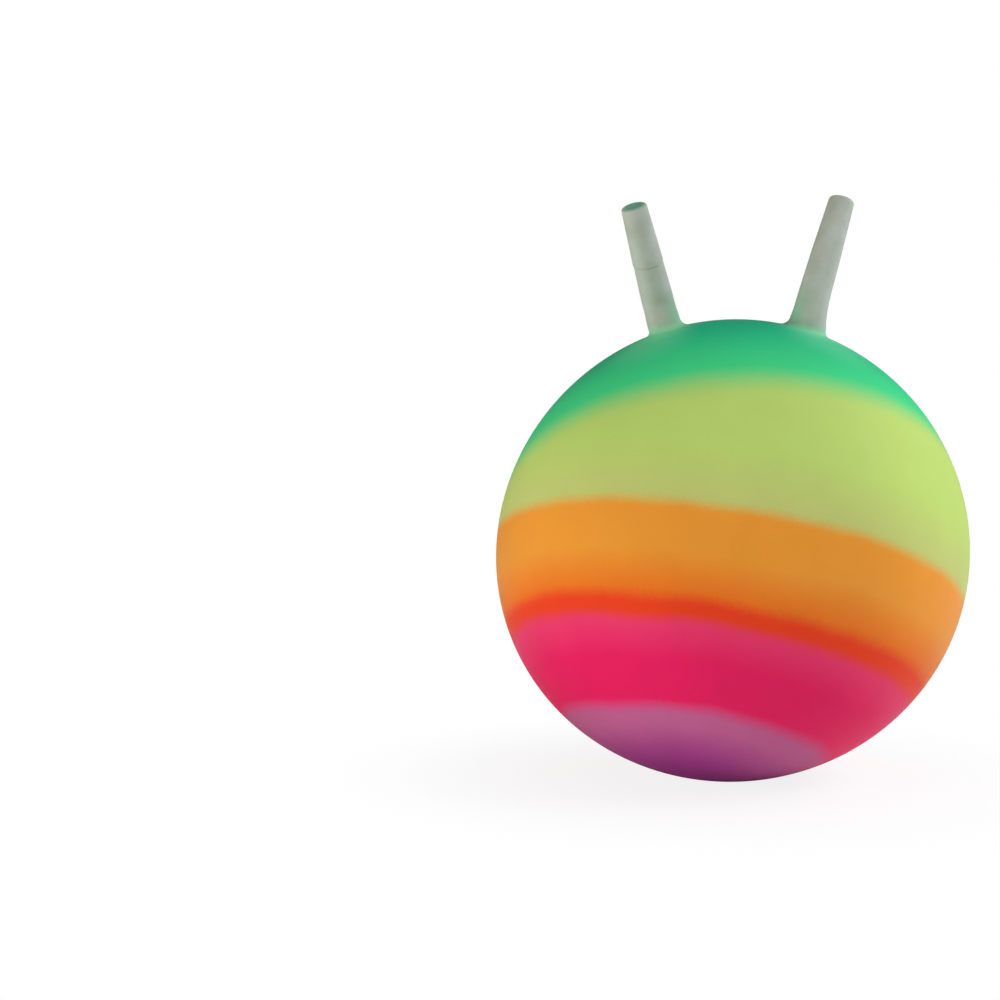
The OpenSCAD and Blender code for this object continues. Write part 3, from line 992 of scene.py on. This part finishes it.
class HOPPER_BALL_OT_valve(bpy.types.Operator):
    """Makes the bonded valve seat and the plug in it"""

    bl_idname = "hopper_ball.valve"
    bl_label = "Make Valve"

    sides = 96
    edge = 0.45 * MM
    edge_rows = 5
    corner_rows = 3
    bore_rows = 5
    bore_start = 2 * MM
    # Depth and radius of the rings of the shallow dimple in the plug's head, in millimetres.
    dimple = ((0.30, 1.5), (0.28, 2.6), (0.10, 3.1), (0.02, 3.5), (0.0, 4.2))
    head_round = 0.5 * MM
    chamfer = 0.2 * MM
    nose_chamfer = (0.3 * MM, 0.4 * MM)
    ring_count = 2
    ring_rows = 8
    ring_arc = 62

    def notched(self, radius, sizes, turns):
        """Radius round the recess at each turn, let out at the finger notch."""
        recess = recess_radius(sizes)
        swing = recess * np.sin(turns)
        inside = (np.abs(swing) < sizes.notch) & (np.cos(turns) > 0)
        reach = recess * np.cos(turns) + np.sqrt(np.maximum(sizes.notch**2 - swing**2, 0))
        return np.where(inside, np.maximum(reach, recess), recess) + radius - recess

    def seat_rows(self, perch, sizes):
        """Height, radius and notching of the seat's rings, from the boss inwards, down and back."""
        boss, flange = sizes.boss_width / 2, sizes.flange_width / 2
        tube, bore = sizes.tube_width / 2, sizes.bore_width / 2
        recess, floor = recess_radius(sizes), -(sizes.head_height + sizes.head_gap)
        under_skin, curve = sizes.skin_thickness + sizes.weld_gap, perch.form.halves.min()

        def inner_face(radius):
            return -(radius**2) / (2 * curve) - under_skin

        flange_base = inner_face(flange) - sizes.flange_rim
        tube_base = flange_base - sizes.tube_length
        edge = self.edge
        boss_edge = arc((boss - edge, -edge), edge, 0, 90, self.edge_rows)
        recess_edge = arc((recess + edge, -edge), edge, 90, 180, self.edge_rows)[1:]
        corner = arc((recess - edge, floor + edge), edge, 0, -90, self.corner_rows)[1:]
        bore_heights = np.linspace(floor - self.bore_start, tube_base, self.bore_rows)
        rows = [(z, r, False) for r, z in boss_edge]
        rows.append((0.0, recess + edge, True))
        rows += [(z, r, True) for r, z in recess_edge]
        rows.append((floor + edge, recess, True))
        rows += [(z, r, True) for r, z in corner]
        rows += [(floor, bore + edge, False), (floor - edge, bore, False)]
        rows += [(z, bore, False) for z in bore_heights]
        rows += [(tube_base, tube - edge, False), (tube_base + edge, tube, False)]
        rows += [(flange_base - edge, tube, False), (flange_base, tube + edge, False)]
        rows += [(flange_base, flange - edge, False), (flange_base + edge, flange, False)]
        rows += [(inner_face(r), r, False) for r in np.linspace(flange, boss, self.edge_rows)]
        return rows

    def plug_rows(self, sizes):
        """Height and radius of the plug's rings, from the head's middle down to the nose."""
        head, stem = sizes.head_width / 2, sizes.stem_width / 2
        nose, ring = sizes.nose_width / 2, sizes.ring_width / 2
        under, end = -sizes.head_height, -sizes.head_height - sizes.stem_length
        edge, chamfer = self.head_round, self.chamfer
        end_rise, end_inset = self.nose_chamfer
        rows = [(-depth * MM, radius * MM) for depth, radius in self.dimple]
        rows += [(z, r) for r, z in arc((head - edge, -edge), edge, 90, 0, self.edge_rows)]
        rows += [(under + chamfer, head), (under, head - chamfer)]
        rows += [(under, stem + chamfer), (under - chamfer, stem)]
        for k in range(self.ring_count):
            middle = (ring - sizes.ring_round, under - (k + 1) * sizes.ring_pitch)
            bulge = arc(middle, sizes.ring_round, self.ring_arc, -self.ring_arc, self.ring_rows)
            rows += [(z, max(r, stem)) for r, z in bulge]
        rows += [(end + sizes.nose_length, stem), (end + end_rise, nose), (end, nose - end_inset)]
        return rows

    def execute(self, context):
        scene = context.scene
        sizes, paint = scene.hopper_sizes, scene.hopper_paint
        form = BallForm(sizes)
        perch = valve_perch(form, sizes)
        turns = full_turn(self.sides)

        rings, reach = [], []
        for height, radius, notched in self.seat_rows(perch, sizes):
            radii = self.notched(radius, sizes, turns) if notched else np.full(self.sides, radius)
            rings.append(perch.ring(radii, height, turns))
            reach.extend(radii)
        seat = add_piece("valve_seat_moulded", *loft(rings, wrap=True), {"reach": reach})
        dress(seat, valve_pvc(form, paint))
        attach(seat, "ball")
        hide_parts("valve_seat")

        rows = self.plug_rows(sizes)
        rings = [np.array([perch.at(0, 0, rows[0][0])])]
        rings += [perch.ring(radius, height, turns) for height, radius in rows]
        rings.append(np.array([perch.at(0, 0, rows[-1][0])]))
        plug = add_piece("valve_plug_moulded", *loft(rings))
        dress(plug, plug_plastic(paint))
        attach(plug, "plug")
        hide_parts("valve_plug")
        return {"FINISHED"}


# Stage


class HOPPER_BALL_OT_stage(bpy.types.Operator):
    """Sets the camera, the lamps, the sky and a pale floor"""

    bl_idname = "hopper_ball.stage"
    bl_label = "Set Stage"

    floor_sides = 64
    floor_radii = (0.5, 1.5, 4.0, 9.0)
    camera_range = (0.05, 60.0)

    def floor(self, stage):
        turns = full_turn(self.floor_sides)
        rings = [np.array([(0.0, 0.0, 0.0)])]
        for radius in self.floor_radii:
            rings.append(np.array([(x, y, 0.0) for x, y in round_places(radius, turns)]))
        floor = add_piece("floor", *loft(rings))
        finish = Finish(bpy.data.materials.new("floor_white"))
        seen = finish.number("ShaderNodeLightPath", output="Is Camera Ray")
        away = finish.far(finish.place(), (0, 0, 0)).ease(stage.glow_near, stage.glow_far)
        glowing = seen * (stage.floor_glow + (1.0 - stage.floor_glow) * away)
        matt = finish.node("ShaderNodeBsdfDiffuse", {}, {"Color": (*stage.floor_white, 1.0)})
        glow = finish.node("ShaderNodeEmission", {}, {"Strength": 1.0})
        both = finish.node(
            "ShaderNodeMixShader", {}, {0: glowing, 1: matt.outputs[0], 2: glow.outputs[0]}
        )
        finish.node("ShaderNodeOutputMaterial", {}, {"Surface": both.outputs[0]})
        floor.data.materials.append(finish.owner)

    def sky(self, scene, stage):
        world = bpy.data.worlds.new("studio_sky")
        scene.world = world
        finish = Finish(world)
        seen = finish.number("ShaderNodeLightPath", output="Is Camera Ray")
        level = stage.sky_level + (1.0 - stage.sky_level) * seen
        light = finish.node(
            "ShaderNodeBackground", {}, {"Color": (1.0, 1.0, 1.0, 1.0), "Strength": level}
        )
        finish.node("ShaderNodeOutputWorld", {}, {"Surface": light.outputs[0]})

    def lamp(self, scene, stage, name, watts, shade, place):
        """A square lamp that faces the lamps' aim and shows in no reflection."""
        data = bpy.data.lights.new(name, "AREA")
        data.energy = watts
        data.color = shade
        data.shape = "RECTANGLE"
        data.size = data.size_y = stage.lamp_width
        lamp = bpy.data.objects.new(name, data)
        scene.collection.objects.link(lamp)
        back = unit(np.array(place) - np.array(stage.lamp_aim))
        right = unit(np.cross(UP, back))
        aim = Matrix((right, np.cross(back, right), back)).transposed()
        lamp.matrix_world = Matrix.Translation(place) @ aim.to_4x4()
        lamp.visible_glossy = False

    def camera(self, scene, stage):
        data = bpy.data.cameras.new("photo_camera")
        data.lens = stage.camera_lens
        data.clip_start, data.clip_end = self.camera_range
        camera = bpy.data.objects.new("photo_camera", data)
        scene.collection.objects.link(camera)
        camera.matrix_world = (
            Matrix.Translation(stage.camera_place)
            @ Matrix.Rotation(math.radians(90) - stage.camera_pitch, 4, "X")
            @ Matrix.Rotation(stage.camera_roll, 4, "Z")
        )
        scene.camera = camera

    def execute(self, context):
        scene = context.scene
        stage = scene.hopper_stage
        self.floor(stage)
        self.sky(scene, stage)
        white, cool = (1.0, 1.0, 1.0), tuple(stage.cool_light)
        for name, watts, shade, place in (
            ("left_lamp", stage.left_power, white, stage.left_place),
            ("right_lamp", stage.right_power, cool, stage.right_place),
            ("back_lamp", stage.back_power, cool, stage.back_place),
        ):
            self.lamp(scene, stage, name, watts, shade, place)
        self.camera(scene, stage)
        scene.view_settings.view_transform = "Standard"
        return {"FINISHED"}


# Panel and registration


class HOPPER_BALL_PT_build(bpy.types.Panel):
    """Sizes, colours and build steps of the hopper ball"""

    bl_label = "Hopper Ball"
    bl_idname = "HOPPER_BALL_PT_build"
    bl_space_type = "VIEW_3D"
    bl_region_type = "UI"
    bl_category = "Hopper Ball"

    def draw(self, context):
        layout = self.layout
        for step in STEPS:
            layout.operator(step.bl_idname)
        for title, group in (
            ("Sizes", context.scene.hopper_sizes),
            ("Paint", context.scene.hopper_paint),
            ("Stage", context.scene.hopper_stage),
        ):
            box = layout.box()
            box.label(text=title)
            for name in group.__annotations__:
                box.prop(group, name)


STEPS = (
    HOPPER_BALL_OT_skin,
    HOPPER_BALL_OT_horn_roots,
    HOPPER_BALL_OT_horn_grips,
    HOPPER_BALL_OT_valve,
    HOPPER_BALL_OT_stage,
)
GROUPS = {
    "hopper_sizes": HopperSizes,
    "hopper_paint": HopperPaint,
    "hopper_stage": HopperStage,
}


def register():
    for name, group in GROUPS.items():
        bpy.utils.register_class(group)
        setattr(bpy.types.Scene, name, PointerProperty(type=group))
    for step in STEPS:
        bpy.utils.register_class(step)
    bpy.utils.register_class(HOPPER_BALL_PT_build)


def unregister():
    bpy.utils.unregister_class(HOPPER_BALL_PT_build)
    for step in reversed(STEPS):
        bpy.utils.unregister_class(step)
    for name, group in reversed(GROUPS.items()):
        delattr(bpy.types.Scene, name)
        bpy.utils.unregister_class(group)


def main():
    register()
    bpy.ops.hopper_ball.skin()
    bpy.ops.hopper_ball.horn_roots()
    bpy.ops.hopper_ball.horn_grips()
    bpy.ops.hopper_ball.valve()
    bpy.ops.hopper_ball.stage()


if __name__ == "__main__":
    main()
